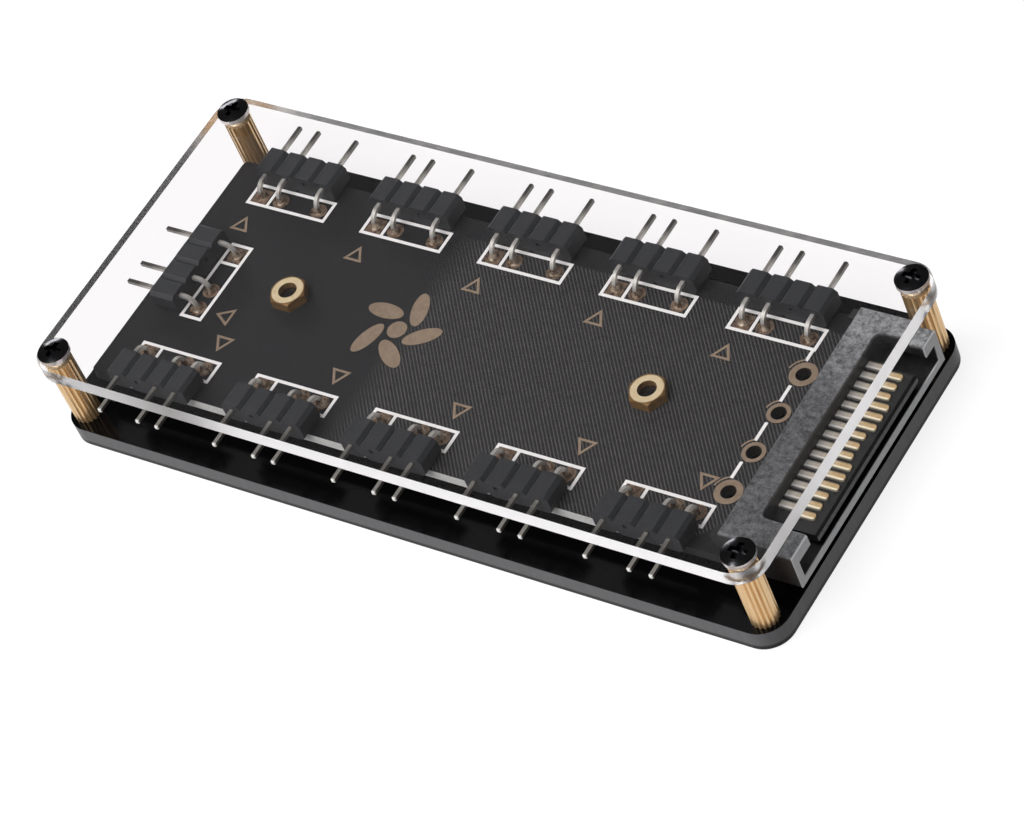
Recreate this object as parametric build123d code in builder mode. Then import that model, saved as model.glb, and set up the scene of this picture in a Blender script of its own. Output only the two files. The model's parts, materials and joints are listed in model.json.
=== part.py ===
from build123d import *
import os
from math import cos, pi, sin

# Fan and light hub: a circuit board between two acrylic plates on knurled brass posts,
# with rows of four-way right-angle pin headers and a drive-power socket at one end.
# Millimetres. Origin on the underside of the base plate, at the middle of the plates,
# X along the plates towards the power socket, Y to the back, Z up.

# Plates and posts
base_thickness = 2.4
cover_thickness = 1.8
plate_corner_radius = 3.0
post_height = 7.8
post_diameter = 3.0
post_ribs = 18
post_rib_depth = 0.18
post_edge_inset = 2.3
post_socket_gap = 1.4

# Circuit board
board_thickness = 1.2
board_lift = 2.6
board_post_gap = 0.75
board_left_margin = 3.25
board_corner_radius = 0.6
board_screw_spacing = 45.0
board_screw_shift = -0.35

# Pin headers: the pads lie in rows, the pins leave the housings level with the board
header_count = 5
header_spacing = 15.24
header_ways = 4
header_pitch = 2.54
header_left_strip = 12.05
header_row_inset = 3.95
left_header_inset = 7.0
left_header_shift = -0.6
filled_ways = (0, 1, 3)
pin_size = 0.42
pin_height = 1.6
pin_reach = 8.85
pin_tail = 1.1
pin_bend_radius = 0.9
pin_tip_chamfer = 0.1
pin_hole_clearance = 0.03
pad_hole_clearance = 0.06
housing_setback = 1.7
housing_depth = 3.1
housing_height = 2.4
housing_lift = 0.05
housing_notch = 0.4

# Drive-power socket, lying on the board and over its right-hand edge
socket_width = 29.2
socket_depth = 8.1
socket_height = 2.9
socket_drop = 1.6
socket_header_gap = 8.74
socket_overhang = 0.95
socket_wall = 0.8
socket_floor = 0.75
socket_board_gap = 0.12
socket_back_wall = 0.7
socket_back_bar = 3.1
socket_arm_thickness = 1.5
socket_front_arm = 3.0
socket_back_arm = 2.4
socket_window_radius = 0.8
socket_edge_chamfer = 0.2
arm_groove_width = 0.6
arm_groove_depth = 0.6
arm_groove_setback = 1.9
tongue_rise = 0.9
tongue_thickness = 1.1
tongue_width = 20.4
tongue_setback = 0.2
tongue_chamfer = 0.25
peg_diameter = 1.5
peg_inset = 1.2
peg_clearance = 0.05
peg_length = 1.0
lug_depth = 1.0
lug_width = 1.2
lug_height = 2.2

# Socket contacts: the ground contacts reach further out than the rest
contact_count = 15
contact_pitch = 1.27
contact_width = 0.84
contact_thickness = 0.25
contact_shift = 0.5
contact_setback = 1.1
ground_contacts = (3, 4, 5, 9, 10, 11)
ground_lead = 0.5
tail_width = 0.5
tail_thickness = 0.3
tail_setback = 1.1
tail_reach = 1.0
contact_clearance = 0.03

# Plated power holes beside the socket, the outer two with wider lands
eyelet_count = 4
eyelet_pitch = 5.08
eyelet_shift = -0.56
eyelet_socket_gap = 3.2
eyelet_bore = 1.65
eyelet_wall = 0.12
eyelet_land_thickness = 0.06
eyelet_outer_land = 3.0
eyelet_inner_land = 2.5

# Screws, nuts and spacers
screw_diameter = 2.0
thread_clearance = 0.03
plate_hole_clearance = 0.1
cover_head_diameter = 3.5
cover_head_height = 0.8
cover_head_rim = 0.5
cover_screw_grip = 3.4
sunk_head_diameter = 3.4
sunk_head_clearance = 0.05
base_screw_grip = 3.4
recess_length = 2.0
recess_width = 0.6
recess_depth = 0.5
sunk_recess_depth = 0.45
recess_taper = 12
nut_across_flats = 3.7
nut_height = 1.15
nut_chamfer = 0.05
board_screw_recess = 0.7
spacer_diameter = 4.0

# Heights of the stacked pieces
base_top = base_thickness
board_bottom = base_top + board_lift
board_top = board_bottom + board_thickness
cover_bottom = base_top + post_height
cover_top = cover_bottom + cover_thickness

# Plates sized round the header rows and the socket
header_span = (header_count - 1) * header_spacing
plate_length = header_left_strip + header_span + socket_header_gap + socket_depth - socket_overhang
post_y = socket_width / 2 + post_socket_gap + post_diameter / 2
plate_width = 2 * (post_y + post_edge_inset)
post_x = plate_length / 2 - post_edge_inset

# Board, header rows and socket
socket_front = plate_length / 2 + socket_overhang
socket_back = socket_front - socket_depth
window_back = socket_back + socket_back_bar
board_width = 2 * (post_y - post_diameter / 2 - board_post_gap)
board_left = -plate_length / 2 + board_left_margin
board_right = window_back - socket_back_wall - socket_board_gap
board_length = board_right - board_left
first_header_x = header_left_strip - plate_length / 2
header_middle_x = first_header_x + header_span / 2
header_row_y = board_width / 2 - header_row_inset
header_length = header_ways * header_pitch
board_screw_middle = header_middle_x + board_screw_shift
board_screw_points = [(board_screw_middle + side * board_screw_spacing / 2, 0) for side in (-1, 1)]
post_points = [(x, y) for x in (-post_x, post_x) for y in (-post_y, post_y)]
plate_hole = screw_diameter + 2 * plate_hole_clearance
thread_hole = screw_diameter + 2 * thread_clearance

# Each header has its own plane on the board: origin at the middle of its pads,
# x along the row and y outwards along the pins
header_planes = {}
for number in range(header_count):
    x = first_header_x + number * header_spacing
    header_planes[f"back_{number + 1}"] = Plane((x, header_row_y, board_top), (1, 0, 0), (0, 0, 1))
    header_planes[f"front_{number + 1}"] = Plane((x, -header_row_y, board_top), (-1, 0, 0), (0, 0, 1))
left_header_origin = (board_left + left_header_inset, left_header_shift, board_top)
header_planes["left"] = Plane(left_header_origin, (0, 1, 0), (0, 0, 1))
way_offsets = [(way - (header_ways - 1) / 2) * header_pitch for way in range(header_ways)]
pin_offsets = [offset for way, offset in enumerate(way_offsets) if way in filled_ways]
pin_points = [
    plane.from_local_coords((offset, 0, 0)) for plane in header_planes.values() for offset in pin_offsets
]

# Socket, contacts and plated holes
socket_top = board_top + socket_height
socket_bottom = board_top - socket_drop
socket_lower_back = window_back - socket_back_wall
cavity_bottom = socket_bottom + socket_floor
cavity_top = socket_top - socket_arm_thickness
tongue_top = board_top + tongue_rise
tongue_front = socket_front - tongue_setback
contact_rows = [
    contact_shift + ((contact_count - 1) / 2 - number) * contact_pitch for number in range(contact_count)
]
tail_x = board_right - tail_setback
strip_back = tail_x - tail_thickness / 2
eyelet_x = socket_back - eyelet_socket_gap
eyelet_rows = [
    eyelet_shift + ((eyelet_count - 1) / 2 - number) * eyelet_pitch for number in range(eyelet_count)
]
eyelet_lands = [eyelet_outer_land] + [eyelet_inner_land] * (eyelet_count - 2) + [eyelet_outer_land]
eyelet_outside = eyelet_bore + 2 * eyelet_wall
peg_points = [
    (socket_back + peg_inset, side * (socket_width / 2 - peg_inset)) for side in (-1, 1)
]

os.makedirs("parts", exist_ok=True)


def save(piece, name):
    """Labels a finished piece and writes it as the node of that name."""
    piece.label = name
    export_step(piece, f"parts/{name}.step")


def row_plane(y):
    """Upright plane across the part at depth y, with x to the right and its own y up."""
    return Plane((0, y, 0), (1, 0, 0), (0, -1, 0))


# Base plate, with sunk holes on its underside for the posts and the board
with BuildPart() as base_plate:
    with BuildSketch():
        RectangleRounded(plate_length, plate_width, plate_corner_radius)
    extrude(amount=base_thickness)
    with Locations(Plane.XY.rotated((180, 0, 0))):
        with Locations(*post_points, *board_screw_points):
            CounterSinkHole(
                plate_hole / 2, sunk_head_diameter / 2 + sunk_head_clearance, counter_sink_angle=90
            )
save(base_plate.part, "base_plate")

# Clear cover plate of the same outline
with BuildPart() as cover_plate:
    with BuildSketch(Plane.XY.offset(cover_bottom)):
        RectangleRounded(plate_length, plate_width, plate_corner_radius)
        with Locations(*post_points):
            Circle(plate_hole / 2, mode=Mode.SUBTRACT)
    extrude(amount=cover_thickness)
save(cover_plate.part, "cover_plate")

# Round brass posts with straight ribs, threaded through
rib_tip = post_diameter / 2
rib_root = rib_tip - post_rib_depth
rib_turn = 2 * pi / post_ribs
rib_outline = []
for rib in range(post_ribs):
    for radius, share in ((rib_tip, -0.2), (rib_tip, 0.2), (rib_root, 0.5)):
        angle = (rib + share) * rib_turn
        rib_outline.append((radius * cos(angle), radius * sin(angle)))
for x, y in post_points:
    with BuildPart() as post:
        with BuildSketch(Plane((x, y, base_top))):
            with BuildLine():
                Polyline(*rib_outline, close=True)
            make_face()
            Circle(thread_hole / 2, mode=Mode.SUBTRACT)
        extrude(amount=post_height)
    depth_name = "back" if y > 0 else "front"
    side_name = "right" if x > 0 else "left"
    save(post.part, f"post_{depth_name}_{side_name}")

# Domed screws with a cross recess, down through the cover into the posts
with BuildPart() as domed_screw:
    with BuildSketch(Plane.XZ):
        with BuildLine():
            Polyline(
                (0, -cover_thickness - cover_screw_grip),
                (screw_diameter / 2, -cover_thickness - cover_screw_grip),
                (screw_diameter / 2, 0),
                (cover_head_diameter / 2, 0),
                (cover_head_diameter / 2, cover_head_rim),
            )
            dome_rise = cover_head_height - cover_head_rim
            RadiusArc(
                (cover_head_diameter / 2, cover_head_rim),
                (0, cover_head_height),
                -((cover_head_diameter / 2) ** 2 + dome_rise**2) / (2 * dome_rise),
            )
            Line((0, cover_head_height), (0, -cover_thickness - cover_screw_grip))
        make_face()
    revolve(axis=Axis.Z)
    with BuildSketch(Plane.XY.offset(cover_head_height)):
        Rectangle(recess_length, recess_width)
        Rectangle(recess_width, recess_length)
    extrude(amount=-recess_depth, taper=recess_taper, mode=Mode.SUBTRACT)
with BuildPart() as cover_screws:
    with Locations(*[(x, y, cover_top) for x, y in post_points]):
        add(domed_screw.part)
save(cover_screws.part, "cover_screws")


def sunk_screw(length):
    """Countersunk screw standing on its head at the origin, as it sits in the base plate."""
    with BuildPart() as screw:
        with BuildSketch(Plane.XZ):
            with BuildLine():
                Polyline(
                    (0, 0),
                    (sunk_head_diameter / 2, 0),
                    (screw_diameter / 2, (sunk_head_diameter - screw_diameter) / 2),
                    (screw_diameter / 2, length),
                    (0, length),
                    close=True,
                )
            make_face()
        revolve(axis=Axis.Z)
        with BuildSketch():
            Rectangle(recess_length, recess_width)
            Rectangle(recess_width, recess_length)
        extrude(amount=sunk_recess_depth, taper=recess_taper, mode=Mode.SUBTRACT)
    return screw.part


# Sunk screws up through the base plate into the posts
with BuildPart() as base_screws:
    with Locations(*post_points):
        add(sunk_screw(base_thickness + base_screw_grip))
save(base_screws.part, "base_screws")

# Longer sunk screws through the base plate, the spacers, the board and the nuts
nut_top = board_top + nut_height
with BuildPart() as board_screws:
    with Locations(*board_screw_points):
        add(sunk_screw(nut_top - board_screw_recess))
save(board_screws.part, "board_screws")

# Spacers that hold the board off the base plate
with BuildPart() as board_spacers:
    with BuildSketch(Plane.XY.offset(base_top)):
        with Locations(*board_screw_points):
            Circle(spacer_diameter / 2)
            Circle(plate_hole / 2, mode=Mode.SUBTRACT)
    extrude(amount=board_lift)
save(board_spacers.part, "board_spacers")

# Brass nuts on the board, with their corners turned off
with BuildPart() as board_nuts:
    with BuildSketch(Plane.XY.offset(board_top)):
        with Locations(*board_screw_points):
            RegularPolygon(nut_across_flats / 2, 6, major_radius=False)
    extrude(amount=nut_height)
    with BuildSketch(Plane.XY.offset(board_top)):
        with Locations(*board_screw_points):
            Circle(nut_across_flats / 2 + nut_height + nut_chamfer)
    extrude(amount=nut_height, taper=45, mode=Mode.INTERSECT)
    with Locations(*[(x, y, nut_top) for x, y in board_screw_points]):
        Hole(thread_hole / 2)
save(board_nuts.part, "board_nuts")

# Circuit board with a hole for every pin, tail, peg, plated hole and screw
pin_slot = pin_size + 2 * pad_hole_clearance
with BuildPart() as circuit_board:
    with BuildSketch(Plane.XY.offset(board_bottom)):
        with Locations((board_left + board_length / 2, 0)):
            RectangleRounded(board_length, board_width, board_corner_radius)
        with Locations(*[(point.X, point.Y) for point in pin_points]):
            Rectangle(pin_slot, pin_slot, mode=Mode.SUBTRACT)
        with Locations(*[(tail_x, y) for y in contact_rows]):
            Rectangle(
                tail_thickness + 2 * pad_hole_clearance,
                tail_width + 2 * pad_hole_clearance,
                mode=Mode.SUBTRACT,
            )
        with Locations(*[(eyelet_x, y) for y in eyelet_rows]):
            Circle(eyelet_outside / 2 + thread_clearance, mode=Mode.SUBTRACT)
        with Locations(*peg_points):
            Circle(peg_diameter / 2 + peg_clearance, mode=Mode.SUBTRACT)
        with Locations(*board_screw_points):
            Circle(plate_hole / 2, mode=Mode.SUBTRACT)
    extrude(amount=board_thickness)
save(circuit_board.part, "circuit_board")

# Plated power holes: a barrel through the board with a flat land on each face
with BuildPart() as power_eyelets:
    for y, land in zip(eyelet_rows, eyelet_lands):
        for land_bottom in (board_bottom - eyelet_land_thickness, board_top):
            with BuildSketch(Plane((eyelet_x, y, land_bottom))):
                Circle(land / 2)
                Circle(eyelet_bore / 2, mode=Mode.SUBTRACT)
            extrude(amount=eyelet_land_thickness)
        with BuildSketch(Plane((eyelet_x, y, board_bottom))):
            Circle(eyelet_outside / 2)
            Circle(eyelet_bore / 2, mode=Mode.SUBTRACT)
        extrude(amount=board_thickness)
save(power_eyelets.part, "power_eyelets")

# Header housings: a strip of notched cells, bored square along the pins
pin_bore = pin_size + 2 * pin_hole_clearance
with BuildSketch() as housing_cell:
    Rectangle(header_pitch, housing_height)
    chamfer(housing_cell.vertices(), housing_notch)
housing_middle = housing_lift + housing_height / 2
for name, plane in header_planes.items():
    housing_plane = Plane(
        plane.from_local_coords((0, housing_setback, housing_middle)), -plane.x_dir, plane.y_dir
    )
    with BuildPart() as header_housing:
        with BuildSketch(housing_plane):
            with GridLocations(header_pitch, 0, header_ways, 1):
                add(housing_cell.sketch)
            with Locations((0, pin_height - housing_middle)):
                with GridLocations(header_pitch, 0, header_ways, 1):
                    Rectangle(pin_bore, pin_bore, mode=Mode.SUBTRACT)
        extrude(amount=housing_depth)
    save(header_housing.part, f"header_housing_{name}")

# Header pins: square wire bent from the board out through the housing
pin_foot = -board_thickness - pin_tail
for name, plane in header_planes.items():
    side_planes = [
        Plane(plane.from_local_coords((offset, 0, 0)), plane.y_dir, plane.x_dir) for offset in pin_offsets
    ]
    with BuildPart() as header_pins:
        with BuildSketch(*side_planes):
            with BuildLine():
                Polyline(
                    (-pin_size / 2, pin_foot),
                    (pin_size / 2, pin_foot),
                    (pin_size / 2, pin_height - pin_size / 2),
                    (pin_reach, pin_height - pin_size / 2),
                    (pin_reach, pin_height + pin_size / 2),
                    (-pin_size / 2, pin_height + pin_size / 2),
                    close=True,
                )
            make_face()
        extrude(amount=pin_size / 2, both=True)
        bends = header_pins.edges().filter_by(Axis((0, 0, 0), plane.x_dir))
        bends = bends.filter_by_position(
            Axis(plane.origin, plane.y_dir), -pin_size, pin_size
        ).filter_by_position(Axis(plane.origin, plane.z_dir), 0, pin_height + pin_size)
        inner = bends.filter_by_position(Axis(plane.origin, plane.y_dir), 0, pin_size)
        outer = bends.filter_by_position(Axis(plane.origin, plane.y_dir), -pin_size, 0)
        fillet(inner, pin_bend_radius)
        fillet(outer, pin_bend_radius + pin_size)
        tips = header_pins.faces().filter_by(Axis((0, 0, 0), plane.y_dir))
        tips = tips.filter_by_position(
            Axis(plane.origin, plane.y_dir), pin_reach - pin_size, pin_reach + pin_size
        )
        chamfer(tips.edges(), pin_tip_chamfer)
    save(header_pins.part, f"header_pins_{name}")

# Power socket: a body over the board's edge with a hollow mouth, a window through its top
# between two arms, and a tongue that carries the contacts
with BuildPart() as power_socket_housing:
    with BuildSketch(row_plane(0)):
        with BuildLine():
            Polyline(
                (socket_back, board_top),
                (socket_back, socket_top),
                (socket_front, socket_top),
                (socket_front, socket_bottom),
                (socket_lower_back, socket_bottom),
                (socket_lower_back, board_top),
                close=True,
            )
        make_face()
    extrude(amount=socket_width / 2, both=True)
    chamfer(power_socket_housing.faces().sort_by(Axis.Z)[-1].edges(), socket_edge_chamfer)
    with BuildSketch(Plane.YZ.offset(window_back)):
        with Locations((0, (cavity_bottom + cavity_top) / 2)):
            Rectangle(socket_width - 2 * socket_wall, cavity_top - cavity_bottom)
    extrude(amount=socket_front - window_back, mode=Mode.SUBTRACT)
    with BuildSketch(Plane.XY.offset(cavity_top)) as window:
        with Locations((window_back, socket_front_arm - socket_width / 2)):
            Rectangle(
                socket_front - window_back,
                socket_width - socket_front_arm - socket_back_arm,
                align=(Align.MIN, Align.MIN),
            )
        fillet(window.vertices().group_by(Axis.X)[0], socket_window_radius)
    extrude(amount=socket_arm_thickness, mode=Mode.SUBTRACT)
    with BuildSketch(Plane.XY.offset(socket_top)):
        with Locations((socket_front - arm_groove_setback, 0)):
            Rectangle(arm_groove_width, socket_width)
    extrude(amount=-arm_groove_depth, mode=Mode.SUBTRACT)
    with BuildSketch(row_plane(0)):
        with BuildLine():
            Polyline(
                (window_back, tongue_top),
                (tongue_front - tongue_chamfer, tongue_top),
                (tongue_front, tongue_top - tongue_chamfer),
                (tongue_front, tongue_top - tongue_thickness + tongue_chamfer),
                (tongue_front - tongue_chamfer, tongue_top - tongue_thickness),
                (window_back, tongue_top - tongue_thickness),
                close=True,
            )
        make_face()
    extrude(amount=tongue_width / 2, both=True)
    with BuildSketch(Plane.XY.offset(board_top)):
        with Locations(*peg_points):
            Circle(peg_diameter / 2)
    extrude(amount=-peg_length)
    with BuildSketch(Plane.XY.offset(board_top)):
        with GridLocations(0, socket_width - lug_width, 1, 2):
            with Locations((socket_back - lug_depth / 2, 0)):
                Rectangle(lug_depth, lug_width)
    extrude(amount=lug_height)
    with BuildSketch(Plane.XY.offset(tongue_top)):
        with Locations(*[(strip_back - contact_clearance, y) for y in contact_rows]):
            Rectangle(
                window_back - strip_back + contact_clearance,
                contact_width + 2 * contact_clearance,
                align=(Align.MIN, Align.CENTER),
            )
    extrude(amount=contact_thickness + contact_clearance, mode=Mode.SUBTRACT)
    with BuildSketch(Plane.XY.offset(board_top)):
        with Locations(*[(tail_x, y) for y in contact_rows]):
            Rectangle(tail_thickness + 2 * contact_clearance, tail_width + 2 * contact_clearance)
    extrude(amount=tongue_rise, mode=Mode.SUBTRACT)
save(power_socket_housing.part, "power_socket_housing")

# Socket contacts: flat strips on the tongue, each with a tail down through the board
contact_reach = tongue_front - contact_setback - strip_back
with BuildPart() as power_contacts:
    with BuildSketch(Plane.XY.offset(tongue_top)):
        for number, y in enumerate(contact_rows):
            reach = contact_reach + (ground_lead if number in ground_contacts else 0) - contact_width / 2
            with Locations((strip_back, y)):
                Rectangle(reach, contact_width, align=(Align.MIN, Align.CENTER))
            with Locations((strip_back + reach, y)):
                Circle(contact_width / 2)
    extrude(amount=contact_thickness)
    with BuildSketch(Plane.XY.offset(tongue_top)):
        with Locations(*[(tail_x, y) for y in contact_rows]):
            Rectangle(tail_thickness, tail_width)
    extrude(amount=board_bottom - tail_reach - tongue_top)
save(power_contacts.part, "power_contacts")
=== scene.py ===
import json
import math

import bmesh
import bpy
from mathutils import Matrix, Vector


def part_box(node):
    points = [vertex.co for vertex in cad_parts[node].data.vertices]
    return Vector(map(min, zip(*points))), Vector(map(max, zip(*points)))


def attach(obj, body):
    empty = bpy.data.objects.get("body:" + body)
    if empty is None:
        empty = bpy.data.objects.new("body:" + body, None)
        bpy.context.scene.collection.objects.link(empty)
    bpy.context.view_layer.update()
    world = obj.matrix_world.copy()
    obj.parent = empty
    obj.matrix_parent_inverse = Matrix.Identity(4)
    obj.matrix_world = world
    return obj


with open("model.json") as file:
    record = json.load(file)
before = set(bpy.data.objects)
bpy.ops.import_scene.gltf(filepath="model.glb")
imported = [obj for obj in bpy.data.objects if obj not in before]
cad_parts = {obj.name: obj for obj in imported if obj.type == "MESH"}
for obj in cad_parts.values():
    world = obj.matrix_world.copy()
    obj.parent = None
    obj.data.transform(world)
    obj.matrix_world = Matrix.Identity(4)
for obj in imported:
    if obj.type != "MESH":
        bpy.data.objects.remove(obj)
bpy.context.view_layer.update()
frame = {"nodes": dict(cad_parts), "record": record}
nodes = frame["nodes"]
scene = bpy.context.scene

MM = 0.001


# Materials

def linear(hex_colour):
    """sRGB hex colour as a linear colour with full alpha."""
    channels = [int(hex_colour[i:i + 2], 16) / 255 for i in (0, 2, 4)]
    return tuple(c / 12.92 if c <= 0.04045 else ((c + 0.055) / 1.055) ** 2.4 for c in channels) + (1.0,)


def add(tree, kind, links=None, output=0, **settings):
    """Adds one node and gives back one of its outputs: settings are its properties, links its
    inputs' values or the outputs that they come from."""
    made = tree.nodes.new(kind)
    for name, value in settings.items():
        setattr(made, name, value)
    for socket, value in (links or {}).items():
        if isinstance(value, bpy.types.NodeSocket):
            tree.links.new(value, made.inputs[socket])
        else:
            made.inputs[socket].default_value = value
    return made.outputs[output] if made.outputs else None


def new_material(name):
    """An empty material: its tree, its Principled shader, the place in mm and the surface normal."""
    material = bpy.data.materials.new(name)
    material.use_nodes = True
    tree = material.node_tree
    shader = tree.nodes["Principled BSDF"]
    place = add(tree, "ShaderNodeVectorMath", {
        0: add(tree, "ShaderNodeTexCoord", output="Object"), "Scale": 1 / MM}, operation="SCALE")
    normal = add(tree, "ShaderNodeNewGeometry", output="Normal")
    return material, tree, shader, place, normal


def feed(tree, shader, **values):
    """Sets the shader's inputs, or joins them to the outputs that are given."""
    for name, value in values.items():
        socket = shader.inputs[name.replace("_", " ")]
        if isinstance(value, bpy.types.NodeSocket):
            tree.links.new(value, socket)
        else:
            socket.default_value = value


# What many nodes share. A colour mix has its factor in socket 0 and its two colours in 6 and 7.
COLOUR = {"output": 2, "data_type": "RGBA"}
FALLING = {"To Min": 1.0, "To Max": 0.0}
LEVEL = {"From Min": 0.3, "From Max": 0.8}
FLUX_PATCHES = {"From Min": 0.35, "From Max": 0.65}
ACRYLIC_IOR = 1.49

# Black cast acrylic: deep black on its polished faces; grey with saw lines on its cut edges, partly satin and
# partly a painted reflection of the white floor, which end in a painted shadow, a dark line along the bottom
SAW_LINE_WIDTH, SAW_LINE_HEIGHT = 0.6, 6
PAINTED_SHADOW_LINE = {"From Min": 0.4, "From Max": 0.65}
black_acrylic, tree, shader, place, normal = new_material("black_cast_acrylic")
facing = add(tree, "ShaderNodeSeparateXYZ", {0: normal}, output="Z")
face = add(tree, "ShaderNodeMapRange", {
    "Value": add(tree, "ShaderNodeMath", {0: facing}, operation="ABSOLUTE"), **LEVEL})
saw_lines = add(tree, "ShaderNodeTexNoise", {
    "Vector": add(tree, "ShaderNodeMapping", {
        "Vector": place, "Scale": (1 / SAW_LINE_WIDTH, 1 / SAW_LINE_WIDTH, 1 / SAW_LINE_HEIGHT)}),
    "Scale": 1.0, "Detail": 3.0})
# Cut edges: satin grey with saw lines, lightened as a painted reflection of the white floor
edge = add(tree, "ShaderNodeMix", {0: saw_lines, 6: linear("5A5A5C"), 7: linear("6F6F71")}, **COLOUR)
# Painted shadow: the cut edges turn dark along the bottom, where the floor's contact shadow would be reflected
rise = add(tree, "ShaderNodeMapRange", {
    "Value": add(tree, "ShaderNodeSeparateXYZ", {0: place}, output="Z"), **PAINTED_SHADOW_LINE})
edge = add(tree, "ShaderNodeMix", {0: rise, 6: linear("1B1B1D"), 7: edge}, **COLOUR)
feed(tree, shader, IOR=ACRYLIC_IOR,
     Base_Color=add(tree, "ShaderNodeMix", {0: face, 6: edge, 7: linear("060607")}, **COLOUR),
     Roughness=add(tree, "ShaderNodeMapRange", {"Value": face, "To Min": 0.4, "To Max": 0.16}),
     Specular_IOR_Level=0.15)

# Clear cast acrylic: polished faces that bend what lies below, and satin cut edges that pipe the light.
# The grey tint dims the reflections that would veil the board from inside the plate.
clear_acrylic, tree, shader, place, normal = new_material("clear_cast_acrylic")
facing = add(tree, "ShaderNodeSeparateXYZ", {0: normal}, output="Z")
face = add(tree, "ShaderNodeMapRange", {
    "Value": add(tree, "ShaderNodeMath", {0: facing}, operation="ABSOLUTE"), **LEVEL})
feed(tree, shader, Base_Color=linear("F8F6F7"), IOR=ACRYLIC_IOR, Transmission_Weight=1.0,
     Specular_Tint=linear("808080"),
     Roughness=add(tree, "ShaderNodeMapRange", {"Value": face, "To Min": 0.34, "To Max": 0.0}))

# Turned and knurled brass, bare: pale straw gold, streaky along the posts, paler on the cut ends
STREAK_WIDTH, STREAK_HEIGHT = 0.3, 2.5
brass, tree, shader, place, normal = new_material("turned_bare_brass")
facing = add(tree, "ShaderNodeSeparateXYZ", {0: normal}, output="Z")
streaks = add(tree, "ShaderNodeTexNoise", {
    "Vector": add(tree, "ShaderNodeMapping", {
        "Vector": place, "Scale": (1 / STREAK_WIDTH, 1 / STREAK_WIDTH, 1 / STREAK_HEIGHT)}),
    "Scale": 1.0, "Detail": 4.0})
side = add(tree, "ShaderNodeMix", {0: streaks, 6: linear("D6AA76"), 7: linear("F1D5A9")}, **COLOUR)
end = add(tree, "ShaderNodeMapRange", {"Value": facing, "From Min": 0.5, "From Max": 0.9})
feed(tree, shader, Metallic=0.75,
     Base_Color=add(tree, "ShaderNodeMix", {0: end, 6: side, 7: linear("F0DDB8")}, **COLOUR),
     Roughness=add(tree, "ShaderNodeMapRange", {"Value": streaks, "To Min": 0.25, "To Max": 0.42}))

# Milled brass of the nuts, tarnished at random: pale in a round on the top face as a painted lit top, brown on
# the corners, and dark brown as painted shade on the flats and in the bore
NUT_SPACING = 45.0
NUT_ROUND = {"From Min": 1.7, "From Max": 1.8}
TARNISH_SIZE = 0.6
nuts_middle = (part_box("board_nuts")[0].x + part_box("board_nuts")[1].x) / 2 / MM
nut_brass, tree, shader, place, normal = new_material("nut_brass_tarnish_painted_light_and_shade")
tarnish = add(tree, "ShaderNodeTexNoise", {"Vector": place, "Scale": 1 / TARNISH_SIZE, "Detail": 4.0})
facing = add(tree, "ShaderNodeSeparateXYZ", {0: normal}, output="Z")
top = add(tree, "ShaderNodeMapRange", {"Value": facing, "From Min": 0.4, "From Max": 0.8})
from_middle = add(tree, "ShaderNodeVectorMath", {0: place, 1: (nuts_middle, 0, 0)}, operation="SUBTRACT")
folded = add(tree, "ShaderNodeVectorMath", {
    0: add(tree, "ShaderNodeVectorMath", {0: from_middle}, operation="ABSOLUTE"),
    1: (NUT_SPACING / 2, 0, 0)}, operation="SUBTRACT")
across = add(tree, "ShaderNodeVectorMath", {0: folded, 1: (1, 1, 0)}, operation="MULTIPLY")
radius = add(tree, "ShaderNodeVectorMath", {0: across}, "Value", operation="LENGTH")
ring = add(tree, "ShaderNodeMapRange", {"Value": radius, **NUT_ROUND, **FALLING})
top = add(tree, "ShaderNodeMath", {0: top, 1: ring}, operation="MULTIPLY")
# Painted shade in dark brown on the flats and in the bore, a painted lit top in pale gold
painted_shade_flats = add(tree, "ShaderNodeMix", {0: tarnish, 6: linear("5A4022"), 7: linear("9A733E")}, **COLOUR)
painted_lit_top = add(tree, "ShaderNodeMix", {0: tarnish, 6: linear("E2C796"), 7: linear("F8E6C2")}, **COLOUR)
feed(tree, shader, Metallic=0.35,
     Base_Color=add(tree, "ShaderNodeMix", {0: top, 6: painted_shade_flats, 7: painted_lit_top}, **COLOUR),
     Roughness=add(tree, "ShaderNodeMapRange", {"Value": tarnish, "To Min": 0.22, "To Max": 0.4}))

# Black nickel on steel screws: nearly black from above, with a painted highlight in pale nickel round the sides
# of the heads' rims
HEAD_MIDDLE = (42.15, 17.5, 0)
PAINTED_HIGHLIGHT_RIM = {"From Min": 1.62, "From Max": 1.7}
NICKEL_GRAIN = 0.25
black_screw, tree, shader, place, normal = new_material("black_nickel_steel")
grain = add(tree, "ShaderNodeTexNoise", {"Vector": place, "Scale": 1 / NICKEL_GRAIN, "Detail": 3.0})
plated = add(tree, "ShaderNodeMix", {0: grain, 6: linear("56565A"), 7: linear("707074")}, **COLOUR)
folded = add(tree, "ShaderNodeVectorMath", {
    0: add(tree, "ShaderNodeVectorMath", {0: place}, operation="ABSOLUTE"),
    1: HEAD_MIDDLE}, operation="SUBTRACT")
across = add(tree, "ShaderNodeVectorMath", {0: folded, 1: (1, 1, 0)}, operation="MULTIPLY")
radius = add(tree, "ShaderNodeVectorMath", {0: across}, "Value", operation="LENGTH")
facing = add(tree, "ShaderNodeSeparateXYZ", {0: normal}, output="Z")
rim = add(tree, "ShaderNodeMapRange", {"Value": radius, **PAINTED_HIGHLIGHT_RIM})
side = add(tree, "ShaderNodeMapRange", {
    "Value": add(tree, "ShaderNodeMath", {0: facing}, operation="ABSOLUTE"),
    "From Min": 0.3, "From Max": 0.6, **FALLING})
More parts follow.
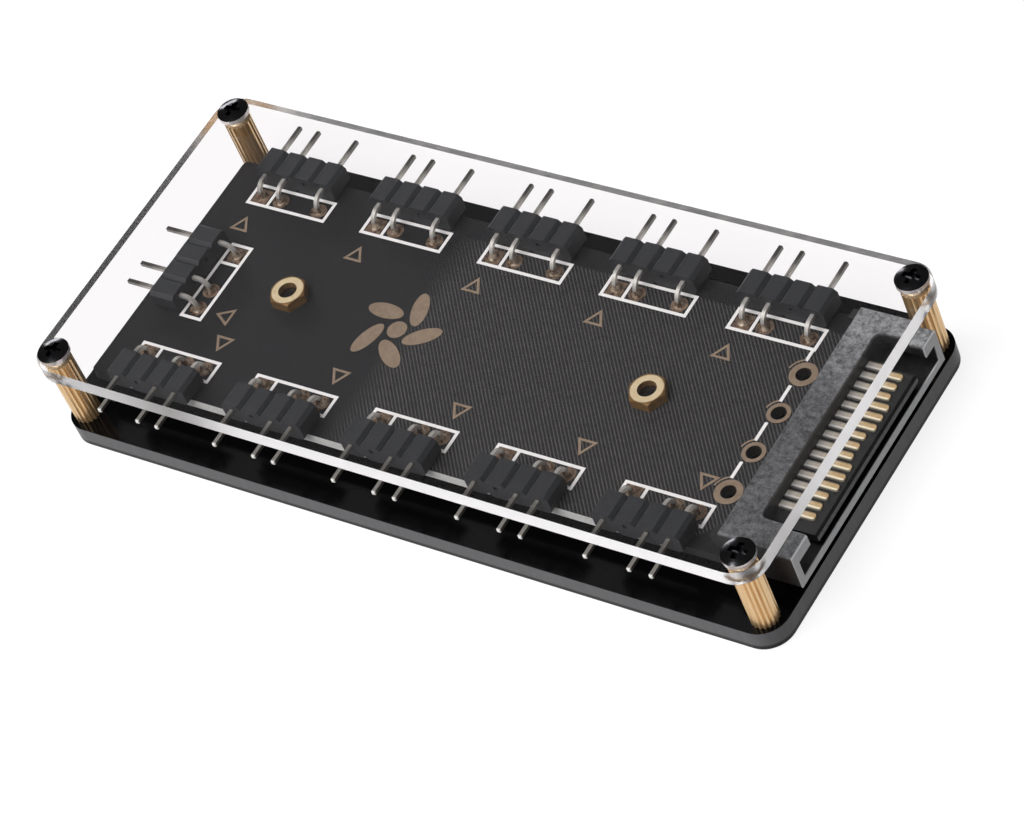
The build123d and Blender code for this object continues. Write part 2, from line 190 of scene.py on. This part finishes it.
# Painted highlight: the rims of the heads are pale and less metallic
painted_light_rim = add(tree, "ShaderNodeMath", {0: rim, 1: side}, operation="MULTIPLY")
feed(tree, shader,
     Metallic=add(tree, "ShaderNodeMapRange", {"Value": painted_light_rim, "To Min": 1.0, "To Max": 0.4}),
     Base_Color=add(tree, "ShaderNodeMix", {0: painted_light_rim, 6: plated, 7: linear("E4DCDA")}, **COLOUR),
     Roughness=add(tree, "ShaderNodeMapRange", {"Value": grain, "To Min": 0.1, "To Max": 0.2}))

# Moulded nylon spacers: plain black with a soft sheen
NYLON_GRAIN = 0.4
black_nylon, tree, shader, place, normal = new_material("moulded_black_nylon")
grain = add(tree, "ShaderNodeTexNoise", {"Vector": place, "Scale": 1 / NYLON_GRAIN, "Detail": 2.0})
feed(tree, shader, Roughness=0.5,
     Base_Color=add(tree, "ShaderNodeMix", {0: grain, 6: linear("101011"), 7: linear("1A1A1B")}, **COLOUR))

# Solder mask on glass epoxy: satin black, with a fine slanted copper hatch showing through on the
# right-hand part, up to a plain margin at the back and a plain front corner, left plain as painted shade. The
# sawn edges show pale glass fibre, but are dark at the left end, and dark as painted shade at that corner.
HATCH_PITCH = 0.37
HATCH_TURN = math.radians(-49.7)
HATCH_START = {"From Min": -11.0, "From Max": -8.0}
HATCH_BACK = {"From Min": 12.7, "From Max": 12.9}
SHADED_FRONT_CORNER = {"From Min": 47.4, "From Max": 47.6}
DARK_LEFT_END = {"From Min": -38.3, "From Max": -37.9}
BLOTCH_SIZE, SPECK_SIZE = 0.8, 0.3
board_mask, tree, shader, place, normal = new_material("black_solder_mask_on_glass_epoxy")
across = add(tree, "ShaderNodeVectorMath", {
    0: place, 1: (-math.sin(HATCH_TURN), math.cos(HATCH_TURN), 0)}, output="Value", operation="DOT_PRODUCT")
turns = add(tree, "ShaderNodeMath", {0: across, 1: 2 * math.pi / HATCH_PITCH}, operation="MULTIPLY")
line = add(tree, "ShaderNodeMapRange", {
    "Value": add(tree, "ShaderNodeMath", {0: turns}, operation="SINE"), "From Min": 0.0, "From Max": 0.9})
hatched = add(tree, "ShaderNodeMapRange", {
    "Value": add(tree, "ShaderNodeSeparateXYZ", {0: place}, output="X"), **HATCH_START})
margin = add(tree, "ShaderNodeMapRange", {
    "Value": add(tree, "ShaderNodeSeparateXYZ", {0: place}, output="Y"), **HATCH_BACK, **FALLING})
outward = add(tree, "ShaderNodeVectorMath", {0: place, 1: (1, -1, 0)}, output="Value", operation="DOT_PRODUCT")
# Painted shade: the front corner without hatch and with dark sawn edges
corner = add(tree, "ShaderNodeMapRange", {"Value": outward, **SHADED_FRONT_CORNER, **FALLING})
for bare in (margin, corner):
    hatched = add(tree, "ShaderNodeMath", {0: hatched, 1: bare}, operation="MULTIPLY")
blotch = add(tree, "ShaderNodeTexNoise", {
    "Vector": place, "Scale": 1 / BLOTCH_SIZE, "Detail": 5.0, "Roughness": 0.7})
speck = add(tree, "ShaderNodeTexNoise", {"Vector": place, "Scale": 1 / SPECK_SIZE, "Detail": 2.0})
uneven = add(tree, "ShaderNodeMapRange", {"Value": blotch, "From Min": 0.3, "From Max": 0.7, "To Min": 0.4})
strength = add(tree, "ShaderNodeMath", {0: line, 1: hatched}, operation="MULTIPLY")
strength = add(tree, "ShaderNodeMath", {0: strength, 1: uneven}, operation="MULTIPLY")
plain = add(tree, "ShaderNodeMix", {0: speck, 6: linear("121214"), 7: linear("1D1D1F")}, **COLOUR)
top = add(tree, "ShaderNodeMix", {0: strength, 6: plain, 7: linear("585655")}, **COLOUR)
fibre = add(tree, "ShaderNodeMix", {0: speck, 6: linear("B8B8B6"), 7: linear("F0F0EC")}, **COLOUR)
left_end = add(tree, "ShaderNodeMapRange", {
    "Value": add(tree, "ShaderNodeSeparateXYZ", {0: place}, output="X"), **DARK_LEFT_END})
bare_fibre = add(tree, "ShaderNodeMath", {0: corner, 1: left_end}, operation="MULTIPLY")
edge = add(tree, "ShaderNodeMix", {0: bare_fibre, 6: linear("2C2C2E"), 7: fibre}, **COLOUR)
facing = add(tree, "ShaderNodeSeparateXYZ", {0: normal}, output="Z")
face = add(tree, "ShaderNodeMath", {0: facing}, operation="ABSOLUTE")
feed(tree, shader,
     Base_Color=add(tree, "ShaderNodeMix", {0: face, 6: edge, 7: top}, **COLOUR),
     Roughness=add(tree, "ShaderNodeMapRange", {"Value": speck, "To Min": 0.42, "To Max": 0.58}),
     Specular_IOR_Level=0.25)

# Thin gold over nickel: dull brown gold, with painted shade in dark brown on its side faces, inside the plated
# holes too
STAIN_SIZE = 0.5
gold, tree, shader, place, normal = new_material("thin_gold_plating")
stain = add(tree, "ShaderNodeTexNoise", {"Vector": place, "Scale": 1 / STAIN_SIZE, "Detail": 4.0})
plated = add(tree, "ShaderNodeMix", {0: stain, 6: linear("8A7460"), 7: linear("AE9C86")}, **COLOUR)
facing = add(tree, "ShaderNodeSeparateXYZ", {0: normal}, output="Z")
face = add(tree, "ShaderNodeMapRange", {
    "Value": add(tree, "ShaderNodeMath", {0: facing}, operation="ABSOLUTE"), **LEVEL})
# Painted shade on every side face
feed(tree, shader, Metallic=0.45,
     Base_Color=add(tree, "ShaderNodeMix", {0: face, 6: linear("231C17"), 7: plated}, **COLOUR),
     Roughness=add(tree, "ShaderNodeMapRange", {"Value": stain, "To Min": 0.3, "To Max": 0.5}))

# The header pads: the same plating under a brown skin of flux
PAD_FLUX_SIZE = 0.7
pad_gold, tree, shader, place, normal = new_material("fluxed_gold_pads")
flux = add(tree, "ShaderNodeTexNoise", {"Vector": place, "Scale": 1 / PAD_FLUX_SIZE, "Detail": 4.0})
flux = add(tree, "ShaderNodeMapRange", {"Value": flux, **FLUX_PATCHES})
feed(tree, shader, Metallic=0.4,
     Base_Color=add(tree, "ShaderNodeMix", {0: flux, 6: linear("4E3E32"), 7: linear("937C68")}, **COLOUR),
     Roughness=add(tree, "ShaderNodeMapRange", {"Value": flux, "To Min": 0.25, "To Max": 0.45}))

# Contact plating: tin-grey strips that turn to gold at their outer ends, with a painted highlight along the
# front side of each and painted shade across their sides and between them
CONTACT_PITCH = 1.27
GOLD_END = {"From Min": 41.0, "From Max": 43.4}
WEAR_SIZE = 0.3
contacts_middle = (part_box("power_contacts")[0].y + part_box("power_contacts")[1].y) / 2 / MM
contact_gold, tree, shader, place, normal = new_material("contact_plating")
outward = add(tree, "ShaderNodeMapRange", {
    "Value": add(tree, "ShaderNodeSeparateXYZ", {0: place}, output="X"), **GOLD_END})
wear = add(tree, "ShaderNodeTexNoise", {"Vector": place, "Scale": 1 / WEAR_SIZE, "Detail": 3.0})
from_middle = add(tree, "ShaderNodeMath", {
    0: add(tree, "ShaderNodeSeparateXYZ", {0: place}, output="Y"), 1: contacts_middle}, operation="SUBTRACT")
phase = add(tree, "ShaderNodeMath", {0: from_middle, 1: 2 * math.pi / CONTACT_PITCH}, operation="MULTIPLY")
# Painted shade: dark across the sides of each contact and between them
painted_shade_across = add(tree, "ShaderNodeMapRange", {
    "Value": add(tree, "ShaderNodeMath", {0: phase}, operation="COSINE"),
    "From Min": -0.75, "From Max": 0.35})
# Painted highlight: a bright band along the front side of each contact
painted_highlight_band = add(tree, "ShaderNodeMapRange", {
    "Value": add(tree, "ShaderNodeMath", {0: phase}, operation="SINE"),
    "From Min": -0.85, "From Max": -0.45, **FALLING})
tin = add(tree, "ShaderNodeMix", {0: wear, 6: linear("C2BAB0"), 7: linear("E8E2D8")}, **COLOUR)
tip = add(tree, "ShaderNodeMix", {0: wear, 6: linear("A8865E"), 7: linear("D6BC90")}, **COLOUR)
flat = add(tree, "ShaderNodeMix", {0: outward, 6: tin, 7: tip}, **COLOUR)
painted_highlight_colour = add(tree, "ShaderNodeMix", {0: outward, 6: linear("FFFDF8"), 7: linear("FFF3D6")}, **COLOUR)
flat = add(tree, "ShaderNodeMix", {0: painted_highlight_band, 6: flat, 7: painted_highlight_colour}, **COLOUR)
feed(tree, shader, Metallic=0.35,
     Base_Color=add(tree, "ShaderNodeMix", {0: painted_shade_across, 6: linear("3C3730"), 7: flat}, **COLOUR),
     Roughness=add(tree, "ShaderNodeMapRange", {"Value": wear, "To Min": 0.22, "To Max": 0.4}))

# Moulded header housings: dark charcoal plastic, dusty and finely mottled
MOTTLE_SIZE = 0.5
MOTTLE_DEPTH = 0.05
header_plastic, tree, shader, place, normal = new_material("moulded_charcoal_plastic")
mottle = add(tree, "ShaderNodeTexNoise", {
    "Vector": place, "Scale": 1 / MOTTLE_SIZE, "Detail": 5.0, "Roughness": 0.65})
feed(tree, shader,
     Base_Color=add(tree, "ShaderNodeMix", {0: mottle, 6: linear("16171A"), 7: linear("2F3134")}, **COLOUR),
     Roughness=add(tree, "ShaderNodeMapRange", {"Value": mottle, "To Min": 0.45, "To Max": 0.65}),
     Specular_IOR_Level=0.3,
     Normal=add(tree, "ShaderNodeBump", {"Height": mottle, "Strength": 0.25, "Distance": MOTTLE_DEPTH * MM}))

# Bright tin on the pins: cool grey metal, with painted highlights that make the legs brighter and the cut tips
# of the front ones white, and painted shade that makes them duller outside the housings
LEG_ROWS = {"From Min": 12.8, "From Max": 13.2}
LEG_COLUMN = {"From Min": -36.2, "From Max": -35.8, "To Max": 0.35}
PAINTED_SHADE_BACK = {"From Min": 17.0, "From Max": 18.6}
PAINTED_SHADE_LEFT = {"From Min": -41.6, "From Max": -40.0}
PAINTED_SHADE_FRONT = {"From Min": -17.6, "From Max": -16.0, "To Min": 0.75, "To Max": 0.0}
DRAWN_SIZE = 0.9
front_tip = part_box("header_pins_front_1")[0].y / MM
tinned_pin, tree, shader, place, normal = new_material("bright_tin_plating")
drawn = add(tree, "ShaderNodeTexNoise", {"Vector": place, "Scale": 1 / DRAWN_SIZE, "Detail": 1.0})
plated = add(tree, "ShaderNodeMix", {0: drawn, 6: linear("A8A39B"), 7: linear("D6D2CA")}, **COLOUR)
along_x = add(tree, "ShaderNodeSeparateXYZ", {0: place}, output="X")
along_y = add(tree, "ShaderNodeSeparateXYZ", {0: place}, output="Y")
tip = add(tree, "ShaderNodeMapRange", {
    "Value": along_y, "From Min": front_tip + 0.1, "From Max": front_tip + 0.3, **FALLING})
inside_rows = add(tree, "ShaderNodeMapRange", {
    "Value": add(tree, "ShaderNodeMath", {0: along_y}, operation="ABSOLUTE"), **LEG_ROWS, **FALLING})
inside_column = add(tree, "ShaderNodeMapRange", {"Value": along_x, **LEG_COLUMN})
leg = add(tree, "ShaderNodeMath", {0: inside_rows, 1: inside_column}, operation="MULTIPLY")
# Painted highlight on the legs and on the front cut tips
painted_highlight_mask = add(tree, "ShaderNodeMath", {0: tip, 1: leg}, operation="MAXIMUM")
# Painted shade outside the housings
past_back = add(tree, "ShaderNodeMapRange", {"Value": along_y, **PAINTED_SHADE_BACK})
past_left = add(tree, "ShaderNodeMapRange", {"Value": along_x, **PAINTED_SHADE_LEFT, **FALLING})
past_front = add(tree, "ShaderNodeMapRange", {"Value": along_y, **PAINTED_SHADE_FRONT})
painted_shade_mask = add(tree, "ShaderNodeMath", {0: past_back, 1: past_left}, operation="MAXIMUM")
painted_shade_mask = add(tree, "ShaderNodeMath", {0: painted_shade_mask, 1: past_front}, operation="MAXIMUM")
plated = add(tree, "ShaderNodeMix", {0: painted_shade_mask, 6: plated, 7: linear("6E6B66")}, **COLOUR)
feed(tree, shader,
     Metallic=add(tree, "ShaderNodeMapRange", {"Value": painted_highlight_mask, "To Min": 0.8, "To Max": 0.25}),
     Base_Color=add(tree, "ShaderNodeMix", {0: painted_highlight_mask, 6: plated, 7: linear("F2F0EB")}, **COLOUR),
     Roughness=add(tree, "ShaderNodeMapRange", {"Value": drawn, "To Min": 0.26, "To Max": 0.34}))

# Socket moulding: black glass-filled plastic, with a grey top that is painted sheen over a mottled bloom, paler
# towards the back as more painted sheen, and a painted light on the outer edge
SOCKET_TOP = 9.1
PALE_BACK = {"From Min": 3.0, "From Max": 12.0}
PAINTED_LIGHT_EDGE = {"From Min": 45.2, "From Max": 45.35}
BLOOM_SIZE = 0.55
BLOOM_DEPTH = 0.05
socket_plastic, tree, shader, place, normal = new_material("glass_filled_black_plastic")
bloom = add(tree, "ShaderNodeTexNoise", {
    "Vector": place, "Scale": 1 / BLOOM_SIZE, "Detail": 8.0, "Roughness": 0.8})
spread = add(tree, "ShaderNodeMapRange", {"Value": bloom, "From Min": 0.4, "From Max": 0.62})
backward = add(tree, "ShaderNodeMapRange", {
    "Value": add(tree, "ShaderNodeSeparateXYZ", {0: place}, output="Y"), **PALE_BACK})
thin = add(tree, "ShaderNodeMix", {0: backward, 6: linear("2C2D2F"), 7: linear("48494B")}, **COLOUR)
thick = add(tree, "ShaderNodeMix", {0: backward, 6: linear("6A6B6D"), 7: linear("A0A1A3")}, **COLOUR)
# Painted sheen: the top faces grey and mottled, paler towards the back
painted_sheen_top = add(tree, "ShaderNodeMix", {0: spread, 6: thin, 7: thick}, **COLOUR)
dark = add(tree, "ShaderNodeMix", {0: spread, 6: linear("0A0A0B"), 7: linear("19191A")}, **COLOUR)
height = add(tree, "ShaderNodeMapRange", {
    "Value": add(tree, "ShaderNodeSeparateXYZ", {0: place}, output="Z"),
    "From Min": SOCKET_TOP - 0.5, "From Max": SOCKET_TOP - 0.1})
# Painted light: a pale strip along the outer edge
painted_light_rim = add(tree, "ShaderNodeMapRange", {
    "Value": add(tree, "ShaderNodeSeparateXYZ", {0: place}, output="X"), **PAINTED_LIGHT_EDGE})
body = add(tree, "ShaderNodeMix", {0: height, 6: dark, 7: painted_sheen_top}, **COLOUR)
feed(tree, shader,
     Base_Color=add(tree, "ShaderNodeMix", {0: painted_light_rim, 6: body, 7: linear("C6C6C8")}, **COLOUR),
     Roughness=add(tree, "ShaderNodeMapRange", {"Value": spread, "To Min": 0.42, "To Max": 0.6}),
     Normal=add(tree, "ShaderNodeBump", {"Height": bloom, "Strength": 0.2, "Distance": BLOOM_DEPTH * MM}))

# White screen-printed ink: matt, thick, slightly uneven
INK_GRAIN = 0.4
white_ink, tree, shader, place, normal = new_material("white_screen_ink")
grain = add(tree, "ShaderNodeTexNoise", {"Vector": place, "Scale": 1 / INK_GRAIN, "Detail": 3.0})
feed(tree, shader, Roughness=0.6,
     Base_Color=add(tree, "ShaderNodeMix", {0: grain, 6: linear("E6E4E2"), 7: linear("F8F6F4")}, **COLOUR))

# Solder: cooled tin alloy with a skin of brown flux
SOLDER_FLUX_SIZE = 0.6
solder, tree, shader, place, normal = new_material("fluxed_tin_solder")
flux = add(tree, "ShaderNodeTexNoise", {"Vector": place, "Scale": 1 / SOLDER_FLUX_SIZE, "Detail": 3.0})
flux = add(tree, "ShaderNodeMapRange", {"Value": flux, **FLUX_PATCHES})
feed(tree, shader, Metallic=0.8,
     Base_Color=add(tree, "ShaderNodeMix", {0: flux, 6: linear("7E614A"), 7: linear("C9B9A5")}, **COLOUR),
     Roughness=add(tree, "ShaderNodeMapRange", {"Value": flux, "To Min": 0.22, "To Max": 0.4}))

finishes = {
    "black_acrylic": black_acrylic, "clear_acrylic": clear_acrylic, "brass": brass,
    "black_screw": black_screw, "black_nylon": black_nylon, "board_epoxy": board_mask,
    "gold_plating": gold, "header_plastic": header_plastic, "tinned_pin": tinned_pin,
    "socket_plastic": socket_plastic,
}
for subpart in frame["record"]["subparts"]:
    mesh = nodes[subpart["node"]].data
    mesh.materials.clear()
    mesh.materials.append(finishes[subpart["material_slot"]])
nodes["power_contacts"].data.materials[0] = contact_gold
nodes["board_nuts"].data.materials[0] = nut_brass

# The lamps light the board straight through the clear cover
nodes["cover_plate"].visible_shadow = False
nodes["cover_plate"].visible_diffuse = False


# Pieces on the board

board_low, board_high = (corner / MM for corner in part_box("circuit_board"))
BOARD_TOP = board_high.z
BOARD_BOTTOM = board_low.z
PITCH = 2.54
HEADERS_IN_ROW = 5
HEADER_SPACING = 15.24
FIRST_HEADER_X = (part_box("header_housing_back_1")[0].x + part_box("header_housing_back_1")[1].x) / 2 / MM
ROW_Y = 11.3
LEFT_COLUMN_X = -34.2
LEFT_COLUMN_Y = -0.6
INK_WIDTH = 0.36
INK_THICKNESS = 0.02
COPPER_THICKNESS = 0.03
WAYS = [(way - 1.5) * PITCH for way in range(4)]
PIN_WAYS = (0, 1, 3)
board_plane = Matrix.Translation((0, 0, BOARD_TOP))

# Each header's own place: x along its row, y outwards along its pins, origin at the middle of its pads.
# With it go the way that the print closes off with a square pad, and the point of its arrowhead.
ARROW_X = WAYS[0]
BACK_ARROW_Y, FRONT_ARROW_Y = -2.9, -2.4
ARROW_SHIFT, ARROW_SHIFT_BESIDE_HOLE = 0.15, 1.1
header_places = []
for number in range(HEADERS_IN_ROW):
    x = FIRST_HEADER_X + number * HEADER_SPACING
    shift = ARROW_SHIFT_BESIDE_HOLE if number == HEADERS_IN_ROW - 1 else ARROW_SHIFT
    back_place = Matrix.Translation((x, ROW_Y, BOARD_TOP))
    front_place = Matrix.Translation((x, -ROW_Y, BOARD_TOP)) @ Matrix.Rotation(math.pi, 4, "Z")
    header_places.append((back_place, 0, (ARROW_X, BACK_ARROW_Y)))
    header_places.append((front_place, 3, (ARROW_X + shift, FRONT_ARROW_Y)))
left_place = Matrix.Translation((LEFT_COLUMN_X, LEFT_COLUMN_Y, BOARD_TOP)) @ Matrix.Rotation(math.pi / 2, 4, "Z")
header_places.append((left_place, 3, (ARROW_X, FRONT_ARROW_Y)))


def piece(name, bm, material, smooth=False):
    """Makes the bmesh, drawn in mm, a piece of the object in metres."""
    bmesh.ops.scale(bm, vec=(MM, MM, MM), verts=bm.verts)
    mesh = bpy.data.meshes.new(name)
    bm.to_mesh(mesh)
    bm.free()
    for polygon in mesh.polygons:
        polygon.use_smooth = smooth
    mesh.materials.append(material)
    made = bpy.data.objects.new(name, mesh)
    scene.collection.objects.link(made)
    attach(made, "root")


def bar(bm, plane, start, end):
    """A flat straight line of ink between two points of a header's or the board's plane."""
    start, end = Vector(start), Vector(end)
    along = end - start
    turn = Matrix.Rotation(math.atan2(along.y, along.x), 4, "Z")
    middle = (start + end) / 2
    spot = plane @ Matrix.Translation((middle.x, middle.y, INK_THICKNESS / 2))
    shape = Matrix.Diagonal((along.length + INK_WIDTH, INK_WIDTH, INK_THICKNESS, 1))
    bmesh.ops.create_cube(bm, size=1.0, matrix=spot @ turn @ shape)


def thicken(bm, thickness):
    """Raises flat faces drawn on the board into closed layers."""
    bmesh.ops.recalc_face_normals(bm, faces=bm.faces)
    raised = bmesh.ops.extrude_face_region(bm, geom=bm.faces[:], use_keep_orig=True)
    bmesh.ops.translate(bm, vec=(0, 0, thickness),
                        verts=[v for v in raised["geom"] if isinstance(v, bmesh.types.BMVert)])
    bmesh.ops.recalc_face_normals(bm, faces=bm.faces)


# White outlines round the pads, with one cell closed off, and the line along the power holes. Each power
# hole has its y and the width of its land.
OUTLINE_SHIFT = 0.15
POWER_X = 34.1
POWER_LINE_X = 33.5
POWER_HOLES = ((7.06, 3.0), (1.98, 2.5), (-3.1, 2.5), (-8.18, 3.0))
LINE_GAP = 0.3
outline_low, outline_high = OUTLINE_SHIFT - PITCH / 2, OUTLINE_SHIFT + PITCH / 2
ink = bmesh.new()
for plane, closed_way, arrow_point in header_places:
    for y in (outline_low, outline_high):
        bar(ink, plane, (-2 * PITCH, y), (2 * PITCH, y))
    for x in (-2 * PITCH, 2 * PITCH, -PITCH if closed_way == 0 else PITCH):
        bar(ink, plane, (x, outline_low + INK_WIDTH), (x, outline_high - INK_WIDTH))
line_start = ROW_Y + outline_low - INK_WIDTH
for y, land in POWER_HOLES:
    bar(ink, board_plane, (POWER_LINE_X, line_start), (POWER_LINE_X, y + land / 2 + LINE_GAP))
    line_start = y - land / 2 - LINE_GAP
piece("board_print", ink, white_ink)

# Short printed arcs beside the plated power holes
ARC_GAP = 0.25
ARC_WIDTH = 0.2
ARC_START, ARC_ANGLE = math.radians(110), math.radians(60)
arcs = bmesh.new()
for y, land in POWER_HOLES:
    inner = land / 2 + ARC_GAP
    centre = Vector((POWER_X, y, BOARD_TOP))
    start = Matrix.Translation(centre) @ Matrix.Rotation(ARC_START, 4, "Z")
    ends = [arcs.verts.new(start @ Vector((radius, 0, 0))) for radius in (inner, inner + ARC_WIDTH)]
    rail = arcs.edges.new(ends)
    bmesh.ops.spin(arcs, geom=ends + [rail], cent=centre, axis=(0, 0, 1), angle=ARC_ANGLE, steps=8)
thicken(arcs, INK_THICKNESS)
piece("power_hole_arcs", arcs, gold)

# Flat pads round the pins, square in the closed cell and round in the others, with solder on both faces
PAD_WIDTH = 1.9
SOLDER_PROFILE = ((0.62, 0.0), (0.5, 0.12), (0.41, 0.3), (0.35, 0.5), (0.31, 0.65))
to_underside = Matrix.Translation((0, 0, BOARD_BOTTOM - BOARD_TOP)) @ Matrix.Rotation(math.pi, 4, "X")
square_pad = Matrix.Diagonal((PAD_WIDTH, PAD_WIDTH, COPPER_THICKNESS, 1))
pads = bmesh.new()
joints = bmesh.new()
for plane, closed_way, arrow_point in header_places:
    for way in PIN_WAYS:
        upper = plane @ Matrix.Translation((WAYS[way], 0, 0))
        for spot in (upper, upper @ to_underside):
            flat = spot @ Matrix.Translation((0, 0, COPPER_THICKNESS / 2))
            if way == closed_way:
                bmesh.ops.create_cube(pads, size=1.0, matrix=flat @ square_pad)
            else:
                bmesh.ops.create_cone(pads, cap_ends=True, segments=28, radius1=PAD_WIDTH / 2,
                                      radius2=PAD_WIDTH / 2, depth=COPPER_THICKNESS, matrix=flat)
            profile = [joints.verts.new(spot @ Vector((radius, 0, COPPER_THICKNESS + height)))
                       for radius, height in SOLDER_PROFILE]
            rail = [joints.edges.new(pair) for pair in zip(profile, profile[1:])]
            bmesh.ops.spin(joints, geom=profile + rail, cent=spot.translation, axis=(0, 0, 1),
                           angle=2 * math.pi, steps=18, use_merge=True)
bmesh.ops.recalc_face_normals(joints, faces=joints.faces)
piece("header_pads", pads, pad_gold)
piece("solder_joints", joints, solder, smooth=True)

# Bare copper arrowheads that mark the first way of each header
ARROW_LENGTH = 2.05
ARROW_WIDTH = 2.4
ARROW_LINE = 0.28
arrow_shape = Matrix.Diagonal((ARROW_WIDTH / math.sqrt(3), ARROW_LENGTH / 1.5, 1, 1))
arrows = bmesh.new()
for plane, closed_way, (arrow_x, arrow_y) in header_places:
    spot = plane @ Matrix.Translation((arrow_x, arrow_y - ARROW_LENGTH * 2 / 3, 0))
    made = bmesh.ops.create_circle(arrows, cap_ends=True, segments=3, radius=1.0, matrix=spot @ arrow_shape)
    triangle = made["verts"][0].link_faces[0]
    bmesh.ops.inset_region(arrows, faces=[triangle], thickness=ARROW_LINE, use_even_offset=True,
                           use_boundary=True)
    bmesh.ops.delete(arrows, geom=[triangle], context="FACES")
thicken(arrows, COPPER_THICKNESS)
piece("copper_arrows", arrows, gold)

# A plain five-bladed rotor printed in the middle of the board
ROTOR_PLACE = board_plane @ Matrix.Translation((-10.7, -0.4, 0))
BLADES = 5
HUB_RADIUS = 1.1
BLADE_OUT = 3.2
BLADE_TURN = math.radians(35)
blade_shape = Matrix.Rotation(BLADE_TURN, 4, "Z") @ Matrix.Diagonal((2.2, 0.95, 1, 1))
rotor = bmesh.new()
bmesh.ops.create_circle(rotor, cap_ends=True, segments=32, radius=HUB_RADIUS, matrix=ROTOR_PLACE)
for blade in range(BLADES):
    turn = Matrix.Rotation(2 * math.pi * blade / BLADES, 4, "Z")
    spot = ROTOR_PLACE @ turn @ Matrix.Translation((BLADE_OUT, 0, 0)) @ blade_shape
    bmesh.ops.create_circle(rotor, cap_ends=True, segments=32, radius=1.0, matrix=spot)
thicken(rotor, COPPER_THICKNESS)
piece("printed_rotor", rotor, gold)


# Floor, light and camera

def lamp(name, place, size, power):
    """A white rectangular lamp, in metres and watts, that looks at the part and isn't seen through the cover."""
    data = bpy.data.lights.new(name, "AREA")
    data.shape = "RECTANGLE"
    data.size, data.size_y = size
    data.energy = power
    made = bpy.data.objects.new(name, data)
    made.location = place
    made.rotation_euler = (-Vector(place)).to_track_quat("-Z", "Y").to_euler()
    made.visible_transmission = False
    scene.collection.objects.link(made)


# White floor just under the part, seen from above only
FLOOR_GAP = 0.2
FLOOR_HALF_WIDTH = 3.0
FLOOR_GLOW = 0.84
floor_paint, tree, shader, place, normal = new_material("white_studio_floor")
path = add(tree, "ShaderNodeLightPath", output="Is Camera Ray").node
seen = add(tree, "ShaderNodeMath", {
    0: path.outputs["Is Camera Ray"], 1: path.outputs["Is Transmission Ray"]}, operation="MAXIMUM")
seen = add(tree, "ShaderNodeMath", {0: seen, 1: path.outputs["Is Glossy Ray"]}, operation="MAXIMUM")
below = add(tree, "ShaderNodeNewGeometry", output="Backfacing")
feed(tree, shader, Base_Color=linear("787878"), Roughness=0.9, Emission_Color=linear("FFFFFF"),
     Alpha=add(tree, "ShaderNodeMath", {0: 1.0, 1: below}, operation="SUBTRACT"),
     Emission_Strength=add(tree, "ShaderNodeMath", {0: seen, 1: FLOOR_GLOW}, operation="MULTIPLY"))
bm = bmesh.new()
bmesh.ops.create_grid(bm, x_segments=1, y_segments=1, size=FLOOR_HALF_WIDTH,
                      matrix=Matrix.Translation((0, 0, -FLOOR_GAP * MM)))
mesh = bpy.data.meshes.new("studio_floor")
bm.to_mesh(mesh)
bm.free()
mesh.materials.append(floor_paint)
floor = bpy.data.objects.new("studio_floor", mesh)
scene.collection.objects.link(floor)

# White room for the camera, also straight through the clear cover, a dim one for the light on the part and
# a nearly dark one for reflections
DIM_ROOM = 0.35
DARKER_REFLECTED = -0.3
world = bpy.data.worlds.new("studio")
scene.world = world
world.use_nodes = True
tree = world.node_tree
path = add(tree, "ShaderNodeLightPath", output="Is Camera Ray").node
seen = add(tree, "ShaderNodeMath", {
    0: path.outputs["Is Camera Ray"], 1: path.outputs["Is Transmission Ray"]}, operation="MAXIMUM")
for depth, most in (("Diffuse Depth", 0.5), ("Transmission Depth", 2.5)):
    straight = add(tree, "ShaderNodeMath", {0: path.outputs[depth], 1: most}, operation="LESS_THAN")
    seen = add(tree, "ShaderNodeMath", {0: seen, 1: straight}, operation="MULTIPLY")
strength = add(tree, "ShaderNodeMapRange", {"Value": seen, "To Min": DIM_ROOM, "To Max": 1.0})
strength = add(tree, "ShaderNodeMath", {
    0: path.outputs["Is Glossy Ray"], 1: DARKER_REFLECTED, 2: strength}, operation="MULTIPLY_ADD")
tree.links.new(strength, tree.nodes["Background"].inputs["Strength"])
tree.nodes["Background"].inputs["Color"].default_value = linear("FFFFFF")

lamp("overhead_softbox", (-0.2, -0.5, 0.85), (0.8, 0.8), 10.5)
lamp("left_back_strip", (-0.7, 0.5, 0.25), (0.3, 0.1), 0.5)

# The photograph's own camera, turned by azimuth, elevation and roll, with its eye in mm
AZIMUTH, ELEVATION, ROLL = math.radians(50.4245), math.radians(45.9767), math.radians(-25.2193)
EYE = Vector((233.84, -193.51, 310.88)) * MM
camera_data = bpy.data.cameras.new("photo_camera")
camera_data.sensor_fit = "HORIZONTAL"
camera_data.sensor_width = 36.0
camera_data.lens = 149.54
camera_data.clip_start = 0.01
camera_data.clip_end = 20.0
camera = bpy.data.objects.new("photo_camera", camera_data)
back = Vector((math.sin(AZIMUTH) * math.cos(ELEVATION), -math.cos(AZIMUTH) * math.cos(ELEVATION),
               math.sin(ELEVATION)))
level = back.cross(Vector((0, 0, 1))).normalized() * -1
lift = back.cross(level)
right = level * math.cos(ROLL) + lift * math.sin(ROLL)
up = back.cross(right)
camera.matrix_world = Matrix((
    (right.x, up.x, back.x, EYE.x),
    (right.y, up.y, back.y, EYE.y),
    (right.z, up.z, back.z, EYE.z),
    (0, 0, 0, 1),
))
scene.collection.objects.link(camera)
scene.camera = camera
scene.view_settings.view_transform = "Standard"

# The clear cover needs many bounces inside it
BOUNCES = 40
scene.cycles.max_bounces = BOUNCES
scene.cycles.transmission_bounces = BOUNCES
scene.cycles.glossy_bounces = BOUNCES
